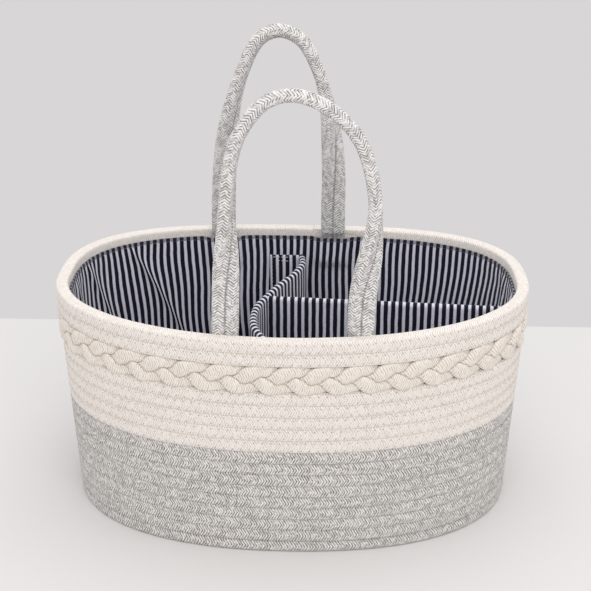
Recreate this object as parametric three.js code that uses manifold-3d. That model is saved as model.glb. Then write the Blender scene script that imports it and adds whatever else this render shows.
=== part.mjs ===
// A free-standing oval rope caddy with two rope handles, a striped cotton lining and a lift-out
// padded divider. Millimetres, +Z up, the long side along X, and the front faces -Y.
// The origin is the middle of the base, on the surface that the caddy stands on.
import * as THREE from "three";
import { mergeVertices } from "three/addons/utils/BufferGeometryUtils.js";
import Module from "manifold-3d";

const wasm = await Module();
wasm.setup();

// The oval line through the middle of the rope wall
const rimHalfLength = 185;
const endLean = 11.6;
const wallHalfDepth = 110.5;
const rimFrontExponent = 2.07;
const rimBackExponent = 2.88;
const baseExponent = 2.25;

// Rope rows and the plaited trim
const ropeHalfWidth = 5;
const greyPitch = 10;
const creamPitch = 10.2;
const greyRows = 8;
const creamRows = 5;
const rimRows = 2;
const rowGap = 0.5;
const trimHeight = 22.6;
const strandWidth = 7.2;
const strandThickness = 4.2;
const strandWeaveShare = 0.99;
const trimPeriods = 13;

// Clearance between pieces that lie against each other
const layerGap = 0.4;

// Handles
const handleRopeRadius = 5.1;
const handleRopeGap = 0.45;
const tailLength = 26;
const pressedTailThickness = 4.6;

// Lining, divider and tapes
const liningThickness = 1.6;
const liningDrop = 7;
const panelTopHeight = 161.5;
const panelThickness = 6;
const panelFabric = 1;
const crossPanelBow = 32;
const flapWidth = 24;
const flapHeight = 100;
const flapThickness = 1.2;
const tapeWidth = 18;
const tapeHeight = 80;
const tapeThickness = 0.9;

// The base is shorter than the rim by the lean of the two end walls
const baseHalfLength = rimHalfLength - endLean;

// Heights that follow from the rows
const greyTop = greyPitch * (1 + greyRows);
const creamTop = greyTop + creamPitch * creamRows;
const trimTop = creamTop + trimHeight;
const bodyHeight = trimTop + creamPitch * rimRows;
const baseTop = greyPitch - rowGap / 2;
const liningBottom = baseTop + layerGap;
const liningTop = bodyHeight - liningDrop;
const floorTop = liningBottom + liningThickness;
const pivotHeight = bodyHeight + handleRopeRadius + layerGap;

// Offsets from the middle of the rope wall, outward positive
const wallFace = -(ropeHalfWidth + layerGap);
const liningFace = wallFace - liningThickness;
const loopTapeBack = liningFace - layerGap;
const hookTapeBack = loopTapeBack - tapeThickness - layerGap;
const flapBack = hookTapeBack - tapeThickness - layerGap;

const up = new THREE.Vector3(0, 0, 1);
const caddy = new THREE.Group();

// Materials
const fabricFinish = (color, roughness) => new THREE.MeshStandardMaterial({ color, roughness, metalness: 0 });
const creamRope = fabricFinish(0xece4d8, 0.92);
const greyRope = fabricFinish(0xbebcba, 0.94);
const handleRope = fabricFinish(0xc8c5c2, 0.94);
const stripedCotton = fabricFinish(0x4a4a66, 0.85);
const paddingBoard = fabricFinish(0xe6e4de, 0.95);
const tapeNylon = fabricFinish(0x1c1b2c, 0.8);

function addPiece(name, geometry, material) {
  const mesh = new THREE.Mesh(geometry, material);
  mesh.name = name;
  caddy.add(mesh);
}

// Six times the volume inside a triangle mesh, negative if its faces point inward
function signedVolume(points, faces) {
  let sum = 0;
  for (const [a, b, c] of faces) {
    sum += points[a].dot(points[b].clone().cross(points[c]));
  }
  return sum;
}

// One closed body through rings of points. A looped one joins its last ring to its first.
function closedLoft(rings, looped = false) {
  const points = rings.flat();
  const sides = rings[0].length;
  const faces = [];
  const lastStep = looped ? rings.length : rings.length - 1;
  for (let step = 0; step < lastStep; step++) {
    const here = step * sides;
    const there = ((step + 1) % rings.length) * sides;
    for (let side = 0; side < sides; side++) {
      const next = (side + 1) % sides;
      faces.push([here + side, here + next, there + next]);
      faces.push([here + side, there + next, there + side]);
    }
  }
  if (!looped) {
    const end = (rings.length - 1) * sides;
    for (let side = 2; side < sides; side++) {
      faces.push([0, side, side - 1]);
      faces.push([end, end + side - 1, end + side]);
    }
  }
  if (signedVolume(points, faces) < 0) {
    for (const face of faces) {
      face.reverse();
    }
  }
  const geometry = new THREE.BufferGeometry().setFromPoints(points);
  geometry.setIndex(faces.flat());
  geometry.computeVertexNormals();
  return geometry;
}

function toSolid(geometry) {
  const bare = geometry.clone();
  bare.deleteAttribute("normal");
  bare.deleteAttribute("uv");
  const merged = mergeVertices(bare);
  return new wasm.Manifold(new wasm.Mesh({
    numProp: 3,
    vertProperties: new Float32Array(merged.attributes.position.array),
    triVerts: new Uint32Array(merged.index.array),
  }));
}

function toGeometry(solid) {
  const mesh = solid.getMesh();
  const geometry = new THREE.BufferGeometry();
  geometry.setAttribute("position", new THREE.Float32BufferAttribute(mesh.vertProperties, 3));
  geometry.setIndex(Array.from(mesh.triVerts));
  geometry.computeVertexNormals();
  return geometry;
}

// The wall's plan is a polygon of stations, so that each layer keeps its gap to the next
const stationsAround = 24;
const rightEnd = 0;
const backMiddle = stationsAround / 4;
const leftEnd = stationsAround / 2;
const tangentStep = Math.PI / 360;

function ovalPoint(angle, height) {
  const share = height / bodyHeight;
  const rimExponent = Math.sin(angle) > 0 ? rimBackExponent : rimFrontExponent;
  const exponent = THREE.MathUtils.lerp(baseExponent, rimExponent, share);
  const halfLength = THREE.MathUtils.lerp(baseHalfLength, rimHalfLength, share);
  const cosine = Math.cos(angle);
  const sine = Math.sin(angle);
  const reach = (Math.abs(cosine) ** exponent + Math.abs(sine) ** exponent) ** (-1 / exponent);
  return new THREE.Vector3(halfLength * cosine * reach, wallHalfDepth * sine * reach, height);
}

function stationPoint(station, height, offset) {
  const angle = (2 * Math.PI * station) / stationsAround;
  const point = ovalPoint(angle, height);
  const tangent = ovalPoint(angle + tangentStep, height).sub(ovalPoint(angle - tangentStep, height));
  return point.addScaledVector(tangent.cross(up).normalize(), offset);
}

// A point on the wall's polygon, where the station may lie between two corners
function wallPoint(station, height, offset) {
  const corner = Math.floor(station);
  const here = stationPoint(corner, height, offset);
  return here.lerp(stationPoint(corner + 1, height, offset), station - corner);
}

// The station on the front or back wall, at the rim, whose place along the length is x
function stationAtX(x, offset, onBack) {
  const first = onBack ? rightEnd : leftEnd;
  for (let corner = first; corner < first + stationsAround / 2; corner++) {
    const here = stationPoint(corner, bodyHeight, offset).x;
    const next = stationPoint(corner + 1, bodyHeight, offset).x;
    if ((here - x) * (next - x) <= 0) {
      return corner + (x - here) / (next - here);
    }
  }
  throw new Error(`no wall at x ${x}`);
}

// Wound rope: each row is level but for a climb at the back, where the rope rises by one row.
// The rope's two ends are cut to a slant under and over that climb, so that the winding is level.
const climbSteps = 2;
const climbStart = backMiddle - climbSteps;
const tipShare = 0.15;
const samplesPerStep = 4;

function ropeSection(turnStep, bottom, pitch, rows) {
  const turn = Math.floor(turnStep / stationsAround);
  const climbed = turn + Math.min(1, (turnStep - turn * stationsAround) / climbSteps);
  const low = bottom + pitch * Math.max(0, climbed - 1) + rowGap / 2;
  const high = bottom + pitch * Math.min(rows, climbed) - rowGap / 2;
  const middle = (low + high) / 2;
  const outline = [
    [ropeHalfWidth, middle],
    [ropeHalfWidth / 2, high],
    [-ropeHalfWidth / 2, high],
    [-ropeHalfWidth, middle],
    [-ropeHalfWidth / 2, low],
    [ropeHalfWidth / 2, low],
  ];
  return outline.map(([offset, height]) => wallPoint(climbStart + turnStep, height, offset));
}

function leastDistance(somePoints, otherPoints) {
  let least = Infinity;
  for (const some of somePoints) {
    for (const other of otherPoints) {
      least = Math.min(least, some.distanceTo(other));
    }
  }
  return least;
}

function woundRope(name, bottom, pitch, rows, material) {
  const firstStep = tipShare * climbSteps;
  const lastStep = rows * stationsAround + climbSteps - firstStep;
  const steps = [firstStep];
  for (let step = 1; step < lastStep; step++) {
    steps.push(step);
  }
  steps.push(lastStep);
  const section = (step) => ropeSection(step, bottom, pitch, rows);
  addPiece(name, closedLoft(steps.map(section)), material);

  let leastGap = Infinity;
  const turnsApart = lastStep - stationsAround - firstStep;
  for (let sample = 0; sample <= turnsApart * samplesPerStep; sample++) {
    const step = firstStep + sample / samplesPerStep;
    leastGap = Math.min(leastGap, leastDistance(section(step), section(step + stationsAround)));
  }
  console.log(`${name}: least gap to itself ${leastGap.toFixed(2)} mm`);
}

// Base: a flat coil whose outermost turn is the lowest grey row
function addBase() {
  const ring = (height, offset) => {
    const points = [];
    for (let station = 0; station < stationsAround; station++) {
      points.push(stationPoint(station, height, offset));
    }
    return points;
  };
  const rings = [
    ring(0, ropeHalfWidth / 2),
    ring(baseTop / 2, ropeHalfWidth),
    ring(baseTop, ropeHalfWidth / 2),
  ];
  addPiece("base_coil", closedLoft(rings), greyRope);

  const floorOffset = liningFace - layerGap;
  const floorRings = [ring(liningBottom, floorOffset), ring(floorTop, floorOffset)];
  addPiece("lining_floor", closedLoft(floorRings), stripedCotton);
}

// Plaited trim: three ropes that cross over and under each other all round the wall
const strandNames = ["a", "b", "c"];
const trimStepsPerPeriod = 9;
const strandSides = 6;
const trimMiddle = (creamTop + trimTop) / 2;
const strandSwing = (trimHeight - rowGap - strandWidth) / 2;
const strandWeave = strandWeaveShare * strandThickness;
const trimOffset = strandWeave + strandThickness / 2 - ropeHalfWidth;

function trimStationTable() {
  const table = [0];
  for (let station = 0; station < stationsAround; station++) {
    const start = stationPoint(climbStart + station, trimMiddle, trimOffset);
    const end = stationPoint(climbStart + station + 1, trimMiddle, trimOffset);
    table.push(table[station] + start.distanceTo(end));
  }
  return table;
}

function addPlait() {
  const lengths = trimStationTable();
  const perimeter = lengths[stationsAround];
  const stationAt = (length) => {
    let corner = 0;
    while (corner < stationsAround - 1 && lengths[corner + 1] < length) {
      corner++;
    }
    return climbStart + corner + (length - lengths[corner]) / (lengths[corner + 1] - lengths[corner]);
  };
  const strandPoint = (length, phase) => {
    const swing = (2 * Math.PI * trimPeriods * length) / perimeter + phase;
    const height = trimMiddle + strandSwing * Math.sin(swing);
    return wallPoint(stationAt(length), height, trimOffset + strandWeave * Math.sin(2 * swing));
  };
  const steps = trimPeriods * trimStepsPerPeriod;
  const usable = perimeter - rowGap;
  strandNames.forEach((strandName, strand) => {
    const phase = (2 * Math.PI * strand) / strandNames.length;
    const rings = [];
    for (let step = 0; step <= steps; step++) {
      const length = rowGap / 2 + (usable * step) / steps;
      const centre = strandPoint(length, phase);
      const behind = strandPoint(Math.max(0, length - rowGap), phase);
      const ahead = strandPoint(Math.min(perimeter, length + rowGap), phase);
      const tangent = ahead.sub(behind).normalize();
      const across = up.clone().addScaledVector(tangent, -tangent.z).normalize();
      const outward = tangent.clone().cross(across);
      const ring = [];
      for (let side = 0; side < strandSides; side++) {
        const angle = (2 * Math.PI * side) / strandSides;
        const point = centre.clone();
        point.addScaledVector(across, (strandWidth / 2) * Math.cos(angle));
        point.addScaledVector(outward, (strandThickness / 2) * Math.sin(angle));
        ring.push(point);
      }
      rings.push(ring);
    }
    addPiece(`plait_strand_${strandName}`, closedLoft(rings), creamRope);
  });
}

// Handles: each is two ropes sewn side by side, a strap that lies flat on the wall at its two
// ends and turns edge-on in the arch, where the tilt share lifts its front rope over its rear one.
// Path shares are [along the legs' spacing, up the height].
const frontHandle = {
  name: "front_handle",
  onBack: false,
  legMiddle: 4.5,
  legSpacing: 103,
  height: 178,
  twistStartShare: 0.09,
  twistEndShare: 0.58,
  archTiltShare: 0.32,
  pathShares: [
    [-1, 0], [-0.98, 0.18], [-0.96, 0.36], [-0.94, 0.6], [-0.76, 0.83], [-0.38, 0.97], [0.01, 1],
    [0.48, 0.95], [0.92, 0.82], [1.16, 0.58], [1.13, 0.36], [1.02, 0.14], [1, 0],
  ],
};
const backHandle = {
  name: "back_handle",
  onBack: true,
  legMiddle: -15.5,
  legSpacing: 95,
  height: 172,
  twistStartShare: 0.09,
  twistEndShare: 0.86,
  archTiltShare: 0.45,
  pathShares: [
    [-1, 0], [-0.99, 0.13], [-0.97, 0.26], [-0.87, 0.54], [-0.63, 0.79], [-0.29, 0.965], [0.05, 1],
    [0.41, 0.955], [0.72, 0.795], [0.91, 0.58], [1, 0.29], [1, 0.13], [1, 0],
  ],
};
const handleSteps = 26;
const handleSides = 8;
const domeAngleShares = [0.42, 0.25];
const handleRopeHalfWidth = handleRopeRadius * Math.cos(Math.PI / handleSides);
const ropeSpread = handleRopeHalfWidth + handleRopeGap / 2;
const strapHalfWidth = ropeSpread + handleRopeHalfWidth;
const liningBulgeRamp = 8;
const tailTop = pivotHeight - handleRopeRadius - layerGap;
const tailBottom = tailTop - tailLength;

// Where a strap lies on the wall: the middle of its back, the way along it and the way inward
function legSeat(handle, side) {
  const x = handle.legMiddle + (side * handle.legSpacing) / 2;
  const startX = handle.onBack ? x + strapHalfWidth : x - strapHalfWidth;
  const endX = handle.onBack ? x - strapHalfWidth : x + strapHalfWidth;
  const start = wallPoint(stationAtX(startX, wallFace, handle.onBack), bodyHeight, wallFace);
  const end = wallPoint(stationAtX(endX, wallFace, handle.onBack), bodyHeight, wallFace);
  const along = end.clone().sub(start).normalize();
  const inward = up.clone().cross(along);
  return { middle: start.lerp(end, 0.5), along, inward, startX, endX };
}

function smoothShare(value, low, high) {
  const share = THREE.MathUtils.clamp((value - low) / (high - low), 0, 1);
  return share * share * (3 - 2 * share);
}

function addHandle(handle) {
  const pivots = [-1, 1].map((side) => {
    const seat = legSeat(handle, side);
    const pivot = seat.middle.clone().addScaledVector(seat.inward, handleRopeRadius);
    return pivot.setZ(pivotHeight);
  });
  const middle = pivots[0].clone().lerp(pivots[1], 0.5);
  const halfSpan = pivots[1].distanceTo(pivots[0]) / 2;
  const along = pivots[1].clone().sub(pivots[0]).normalize();
  const through = up.clone().cross(along);
  const path = new THREE.CatmullRomCurve3(handle.pathShares.map(([side, rise]) => {
    const point = middle.clone().addScaledVector(along, halfSpan * side);
    return point.addScaledVector(up, handle.height * rise);
  }));
  const frames = [];
  for (let step = 0; step <= handleSteps; step++) {
    const centre = path.getPointAt(step / handleSteps);
    const tangent = path.getTangentAt(step / handleSteps);
    if (step === 0) {
      tangent.copy(up);
    }
    if (step === handleSteps) {
      tangent.copy(up).negate();
    }
    const rise = (centre.z - pivotHeight) / handle.height;
    const turn = (Math.PI / 2) * smoothShare(rise, handle.twistStartShare, handle.twistEndShare);
    const width = along.clone().multiplyScalar(-Math.cos(turn)).addScaledVector(through, -Math.sin(turn));
    width.addScaledVector(up, handle.archTiltShare * Math.sin(turn));
    width.addScaledVector(tangent, -width.dot(tangent)).normalize();
    frames.push({ centre, tangent, width, thick: tangent.clone().cross(width) });
  }
  for (const [ropeName, side] of [["left", 1], ["right", -1]]) {
    const ropeRing = (frame, radius, advance) => {
      const ring = [];
      for (let corner = 0; corner < handleSides; corner++) {
        const angle = (2 * Math.PI * (corner + 0.5)) / handleSides;
        const point = frame.centre.clone().addScaledVector(frame.tangent, advance);
        point.addScaledVector(frame.width, side * ropeSpread + radius * Math.cos(angle));
        point.addScaledVector(frame.thick, radius * Math.sin(angle));
        ring.push(point);
      }
      return ring;
    };
    const dome = (frame, direction) => domeAngleShares.map((share) => ropeRing(
      frame,
      handleRopeRadius * Math.cos(Math.PI * share),
      direction * handleRopeRadius * Math.sin(Math.PI * share),
    ));
    const rings = dome(frames[0], -1);
    rings.push(...frames.map((frame) => ropeRing(frame, handleRopeRadius, 0)));
    rings.push(...dome(frames[handleSteps], 1).reverse());
    addPiece(`${handle.name}_rope_${ropeName}`, closedLoft(rings), handleRope);
  }
}

// Tails: the straps' ends, round above the lining and pressed flat between it and the wall.
// Outline shares are [across the strap, through its thickness].
const tailOutlineShares = [
  [1, 0], [0.86, 0.72], [0.5, 1], [0.1, 0.76], [-0.1, 0.76], [-0.5, 1], [-0.86, 0.72],
  [-1, 0], [-0.86, -0.72], [-0.5, -1], [-0.1, -0.76], [0.1, -0.76], [0.5, -1], [0.86, -0.72],
];

function addTails(handle) {
  for (const [sideName, side] of [["left", -1], ["right", 1]]) {
    const seat = legSeat(handle, side);
    const outlineAt = (height, thickness) => tailOutlineShares.map(([across, through]) => {
      const point = seat.middle.clone().setZ(height);
      point.addScaledVector(seat.along, strapHalfWidth * across);
      return point.addScaledVector(seat.inward, (thickness / 2) * (1 + through));
    });
    const rings = [
      outlineAt(tailTop, 2 * handleRopeRadius),
      outlineAt((tailTop + liningTop) / 2, 2 * handleRopeRadius),
      outlineAt(liningTop + layerGap, pressedTailThickness),
      outlineAt(tailBottom, pressedTailThickness),
    ];
    addPiece(`${handle.name}_tail_${sideName}`, closedLoft(rings), handleRope);
  }
}

// Lining wall: a cotton band that hugs the rope and bulges over the four strap tails
function tailSpans() {
  const spans = [];
  for (const handle of [frontHandle, backHandle]) {
    for (const side of [-1, 1]) {
      const { startX, endX } = legSeat(handle, side);
      const ramp = handle.onBack ? -liningBulgeRamp : liningBulgeRamp;
      const places = [startX - ramp, startX, endX, endX + ramp];
      spans.push(places.map((x) => stationAtX(x, wallFace, handle.onBack)));
    }
  }
  return spans;
}

const plainLevelShares = [0, 0.25, 0.5, 0.75, 1];

function addLiningWall() {
  const spans = tailSpans();
  const stations = [...Array(stationsAround).keys(), ...spans.flat()].sort((a, b) => a - b);
  const bulgeDepth = pressedTailThickness + layerGap;
  const bulgeShares = [0, 1, 1, 0];
  const bulgedPoint = (station, height, offset) => {
    const span = spans.find((places) => station >= places[0] && station <= places[3]);
    if (!span) {
      return wallPoint(station, height, offset);
    }
    const part = Math.min(2, span.findLastIndex((place) => place <= station));
    const [start, end] = [part, part + 1].map((index) => (
      wallPoint(span[index], height, offset - bulgeDepth * bulgeShares[index])
    ));
    return start.lerp(end, (station - span[part]) / (span[part + 1] - span[part]));
  };
  const bulgeFoot = tailBottom - liningBulgeRamp - layerGap;
  const plainLevels = plainLevelShares.map((share) => THREE.MathUtils.lerp(liningBottom, bulgeFoot, share));
  const levels = [
    ...plainLevels.map((height) => [height, wallPoint]),
    [tailBottom - layerGap, bulgedPoint],
    [liningTop, bulgedPoint],
  ];
  const rings = stations.map((station) => {
    const face = (offset) => levels.map(([height, place]) => place(station, height, offset));
    return [...face(wallFace), ...face(liningFace).reverse()];
  });
  addPiece("lining_wall", closedLoft(rings, true), stripedCotton);
}

// Divider: a curved cross panel and a long panel sewn to it, each a cotton sleeve round a board.
// Cross panel shares are [along the bow, along the half-depth inside the lining].
const crossPanelShares = [
  [0.16, 1], [0.16, 0.95], [0.19, 0.87], [0.14, 0.76], [-0.03, 0.6], [-0.37, 0.39], [-0.65, 0.185],
  [-0.87, -0.01], [-0.94, -0.21], [-0.87, -0.4], [-0.62, -0.59], [-0.3, -0.77], [-0.05, -0.89],
  [0, -0.95], [0, -1],
];
const panelBottom = floorTop + layerGap;
const insideHalfDepth = wallHalfDepth + liningFace - 2 * layerGap;
const boardHalfThickness = panelThickness / 2 - panelFabric - layerGap;
const sleeveEnd = panelFabric + layerGap;
const crossSegments = 24;
const crossCurve = new THREE.CatmullRomCurve3(crossPanelShares.map(([side, depth]) => (
  new THREE.Vector3(crossPanelBow * side, insideHalfDepth * depth, 0)
)));
const crossLength = crossCurve.getLength();

// A prism that follows the cross panel's curve, drawn in by the inset at both ends
function crossPanelPrism(halfThickness, inset, bottom, top) {
  const leftEdge = [];
  const rightEdge = [];
  for (let segment = 0; segment <= crossSegments; segment++) {
    const share = inset / crossLength + (segment / crossSegments) * (1 - (2 * inset) / crossLength);
    const centre = crossCurve.getPointAt(share);
    const sideways = crossCurve.getTangentAt(share).cross(up).multiplyScalar(halfThickness);
    leftEdge.push(new THREE.Vector2(centre.x + sideways.x, centre.y + sideways.y));
    rightEdge.push(new THREE.Vector2(centre.x - sideways.x, centre.y - sideways.y));
  }
  const outline = new THREE.Shape([...leftEdge, ...rightEdge.reverse()]);
  const geometry = new THREE.ExtrudeGeometry(outline, { depth: top - bottom, bevelEnabled: false });
  return geometry.translate(0, 0, bottom);
}

// The long panel's middle line runs from the seam on the cross panel to the middle of the end wall
const seamShare = 0.43;
const seamPoint = crossCurve.getPointAt(seamShare);
const seamAcross = up.clone().cross(crossCurve.getTangentAt(seamShare)).normalize();
const longPanelEnd = new THREE.Vector3(rimHalfLength + flapBack, 0, 0);
const longDirection = longPanelEnd.clone().sub(seamPoint).normalize();
const longSideways = up.clone().cross(longDirection);
const seamSkew = longSideways.dot(seamAcross) / longDirection.dot(seamAcross);

// Where the long panel's end meets the leaning wall at a height, along the panel from its seam
function longPanelReach(height) {
  const wall = stationPoint(rightEnd, height, liningFace - layerGap);
  return (wall.x - seamPoint.x) / longDirection.x;
}

// A block along the long panel's line, cut to the cross panel's slant and the wall's lean
function longPanelBlock(halfThickness, inset, bottom, top) {
  const start = panelThickness / 2 + layerGap + inset;
  const ringAt = (height) => [-1, 1].flatMap((side) => {
    const edge = side * halfThickness;
    const seamEdge = start / longDirection.dot(seamAcross) - edge * seamSkew;
    const ends = [seamEdge, longPanelReach(height) - panelFabric - inset];
    const corners = ends.map((distance) => {
      const point = seamPoint.clone().addScaledVector(longDirection, distance);
      return point.addScaledVector(longSideways, edge).setZ(height);
    });
    return side < 0 ? corners : corners.reverse();
  });
  return closedLoft([ringAt(bottom), ringAt(top)]);
}

function addPanel(name, prism) {
  const roofBottom = panelTopHeight - panelFabric;
  const outside = toSolid(prism(panelThickness / 2, 0, panelBottom, panelTopHeight));
  const pocketHalf = panelThickness / 2 - panelFabric;
  const pocket = toSolid(prism(pocketHalf, panelFabric, panelBottom - layerGap, roofBottom));
  addPiece(`${name}_cover`, toGeometry(outside.subtract(pocket)), stripedCotton);
  const board = prism(boardHalfThickness, sleeveEnd, panelBottom + layerGap, roofBottom - layerGap);
  addPiece(`${name}_core`, board, paddingBoard);
}

// A flat strip on the wall between two stations and two heights, from its back offset inward
function wallStrip(startStation, endStation, bottom, top, backOffset, thickness) {
  const rings = [startStation, endStation].map((station) => [
    wallPoint(station, bottom, backOffset),
    wallPoint(station, top, backOffset),
    wallPoint(station, top, backOffset - thickness),
    wallPoint(station, bottom, backOffset - thickness),
  ]);
  return closedLoft(rings);
}

// End flaps: each tab lies on the wall beside its panel's end, and peels about its sewn edge.
// Between it and the lining lie the hook tape on the flap and the loop tape on the lining.
const flapSeamGap = 0.9;

function addFlap(name, stationAlong) {
  const flapBottom = panelTopHeight - flapHeight;
  const tapeInset = (flapWidth - tapeWidth) / 2;
  const tapeRise = (flapHeight - tapeHeight) / 2;
  const strip = (inset, rise, backOffset, thickness) => wallStrip(
    stationAlong(inset),
    stationAlong(flapWidth - inset),
    flapBottom + rise,
    panelTopHeight - rise,
    backOffset,
    thickness,
  );
  addPiece(`${name}_flap`, strip(0, 0, flapBack, flapThickness), stripedCotton);
  addPiece(`${name}_hook_tape`, strip(tapeInset, tapeRise, hookTapeBack, tapeThickness), tapeNylon);
  addPiece(`${name}_loop_tape`, strip(tapeInset, tapeRise, loopTapeBack, tapeThickness), tapeNylon);
}

function addFlaps() {
  const besideCross = (onBack) => {
    const side = onBack ? -1 : 1;
    const panelEnd = crossCurve.getPointAt(onBack ? 0 : 1).x;
    const hingeX = panelEnd + side * (panelThickness / 2 + flapSeamGap);
    return (distance) => stationAtX(hingeX + side * distance, flapBack, onBack);
  };
  const besideLong = (distance) => {
    const corner = stationsAround - 1;
    const chord = stationPoint(corner, panelTopHeight, flapBack)
      .distanceTo(stationPoint(stationsAround, panelTopHeight, flapBack));
    return stationsAround - (panelThickness / 2 + flapSeamGap + distance) / chord;
  };
  addFlap("rear", besideCross(true));
  addFlap("front", besideCross(false));
  addFlap("end", besideLong);
}

addBase();
woundRope("grey_rope_wall", greyPitch, greyPitch, greyRows, greyRope);
woundRope("cream_rope_wall", greyTop, creamPitch, creamRows, creamRope);
addPlait();
woundRope("cream_rope_rim", trimTop, creamPitch, rimRows, creamRope);
addLiningWall();
for (const handle of [frontHandle, backHandle]) {
  addHandle(handle);
  addTails(handle);
}
addPanel("cross_panel", crossPanelPrism);
addPanel("long_panel", longPanelBlock);
addFlaps();

export default caddy;
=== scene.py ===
# Oval rope caddy: wound cotton rope walls, a plaited trim, two double-rope handles,
# a striped cotton lining and a lift-out padded divider.
# Shapes are worked out in millimetres and turned into metres when a mesh is made.
import math
import bpy
import numpy as np
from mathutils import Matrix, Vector


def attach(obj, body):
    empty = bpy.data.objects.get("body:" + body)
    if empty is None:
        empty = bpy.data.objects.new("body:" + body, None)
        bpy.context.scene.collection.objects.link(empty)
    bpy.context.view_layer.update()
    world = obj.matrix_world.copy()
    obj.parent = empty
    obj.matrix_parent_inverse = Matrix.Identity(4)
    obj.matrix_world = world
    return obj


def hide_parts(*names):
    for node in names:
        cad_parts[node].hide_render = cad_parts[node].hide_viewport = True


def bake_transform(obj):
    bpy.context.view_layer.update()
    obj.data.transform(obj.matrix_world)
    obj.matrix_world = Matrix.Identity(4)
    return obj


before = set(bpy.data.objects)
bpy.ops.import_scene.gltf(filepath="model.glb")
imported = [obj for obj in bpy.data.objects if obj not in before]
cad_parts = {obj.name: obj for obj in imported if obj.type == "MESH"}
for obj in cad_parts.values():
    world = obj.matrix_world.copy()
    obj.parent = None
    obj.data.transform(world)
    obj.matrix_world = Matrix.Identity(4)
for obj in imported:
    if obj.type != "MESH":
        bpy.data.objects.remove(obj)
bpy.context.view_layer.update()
mm = 0.001
fullTurn = 2 * math.pi
up = np.array([0, 0, 1.0])

# The camera comes first, at the photograph's angle
camera = {"place": (0.0409, -1.0875, 0.6772), "lookAt": (0.0029, 0.0001, 0.1714),
          "lens": 90.3, "sensorWidth": 36, "shiftY": -0.0042}


def aim(name, data, place, lookAt):
    thing = bpy.data.objects.new(name, data)
    thing.location = place
    away = Vector(lookAt) - Vector(place)
    thing.rotation_euler = away.to_track_quat("-Z", "Y").to_euler()
    bpy.context.collection.objects.link(thing)
    return thing


def addCamera():
    data = bpy.data.cameras.new("photoCamera")
    data.lens = camera["lens"]
    data.sensor_width = camera["sensorWidth"]
    data.shift_y = camera["shiftY"]
    bpy.context.scene.camera = aim("photoCamera", data, camera["place"], camera["lookAt"])


addCamera()
print("stage: camera set")


# Small helpers for meshes
def smoothStep(value, low, high):
    share = np.clip((value - low) / (high - low), 0, 1)
    return share * share * (3 - 2 * share)


def unitRows(vectors):
    return vectors / np.linalg.norm(vectors, axis=-1, keepdims=True)


def makeObject(name, points, faces, faceUv, material):
    mesh = bpy.data.meshes.new(name)
    mesh.from_pydata((points * mm).tolist(), [], faces)
    layer = mesh.uv_layers.new(name="UVMap")
    layer.data.foreach_set("uv", np.asarray(faceUv, dtype=np.float32).ravel())
    mesh.polygons.foreach_set("use_smooth", np.ones(len(mesh.polygons), dtype=bool))
    mesh.materials.append(material)
    mesh.update()
    thing = bpy.data.objects.new(name, mesh)
    bpy.context.collection.objects.link(thing)
    return thing


def loftFaces(rings, uv, closedAlong=False):
    # quads through a grid of closed rings, with a UV for each corner, and flat caps at open ends
    count, sides = rings.shape[:2]
    row, col = np.meshgrid(np.arange(count - (not closedAlong)), np.arange(sides), indexing="ij")
    here, there = row * sides, (row + 1) % count * sides
    nextCol = (col + 1) % sides
    quads = np.stack([here + col, here + nextCol, there + nextCol, there + col], -1).reshape(-1, 4)
    corners = np.stack([uv[row, col], uv[row, col + 1], uv[row + 1, col + 1], uv[row + 1, col]], 2)
    points = rings.reshape(-1, 3)
    a, b, c, d = (points[quads[:, corner]] for corner in range(4))
    volume = (a * (np.cross(b, c) + np.cross(c, d))).sum()
    faces = quads.tolist()
    faceUv = corners.reshape(-1, 4, 2).tolist()
    if not closedAlong:
        for ring, order in ((0, -1), (count - 1, 1)):
            faces.append([ring * sides + side for side in range(sides)][::order])
            faceUv.append(uv[ring, :sides].tolist()[::order])
    if volume < 0:
        faces = [face[::-1] for face in faces]
        faceUv = [face[::-1] for face in faceUv]
    return points, faces, [corner for face in faceUv for corner in face]


def loft(name, rings, uv, material, closedAlong=False):
    return makeObject(name, *loftFaces(rings, uv, closedAlong), material)


def joinThreads(name, threads, material):
    # many short threads in one mesh
    allPoints, allFaces, allUv = [], [], []
    start = 0
    for rings, uv in threads:
        points, faces, faceUv = loftFaces(rings, uv)
        allPoints.append(points)
        allFaces += [[corner + start for corner in face] for face in faces]
        allUv += faceUv
        start += len(points)
    return makeObject(name, np.concatenate(allPoints), allFaces, allUv, material)


def superellipse(halfWidth, halfHeight, exponent, sides):
    # section points from the inner side round by the bottom, outermost at the middle of the list
    turn = fullTurn * np.arange(sides) / sides - math.pi
    circle = np.stack([np.cos(turn), np.sin(turn)], 1)
    return np.sign(circle) * np.abs(circle) ** (2 / exponent) * (halfWidth, halfHeight)


def alongLengths(points):
    return np.concatenate([[0], np.cumsum(np.linalg.norm(np.diff(points, axis=0), axis=1))])


def aroundLengths(section):
    # signed length from the outermost line, along the closed section
    lengths = alongLengths(np.vstack([section, section[:1]]))
    return lengths - lengths[-1] / 2


def ropeUv(along, around):
    # metres along the rope, and metres round it from its outermost line
    return np.stack(np.meshgrid(along, around, indexing="ij"), -1) * mm


def readAt(wanted, lengths, values):
    # the values that belong to these lengths, read off at the wanted ones
    return np.stack([np.interp(wanted, lengths, column) for column in values.T], -1)


def zigzag(count):
    return np.where(np.arange(count) % 2 == 0, 1.0, -1.0)


def threadTube(points, outward, radius, sides=4):
    # a thin thread along points, closed at both ends
    tangent = unitRows(np.gradient(points, axis=0))
    side = unitRows(np.cross(tangent, outward))
    lift = np.cross(side, tangent)
    turn = fullTurn * (np.arange(sides) + 0.5)[:, None] / sides
    rings = points[:, None] + radius * (np.cos(turn) * side[:, None] + np.sin(turn) * lift[:, None])
    return rings, ropeUv(alongLengths(points), fullTurn * radius * np.arange(sides + 1) / sides)


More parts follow.
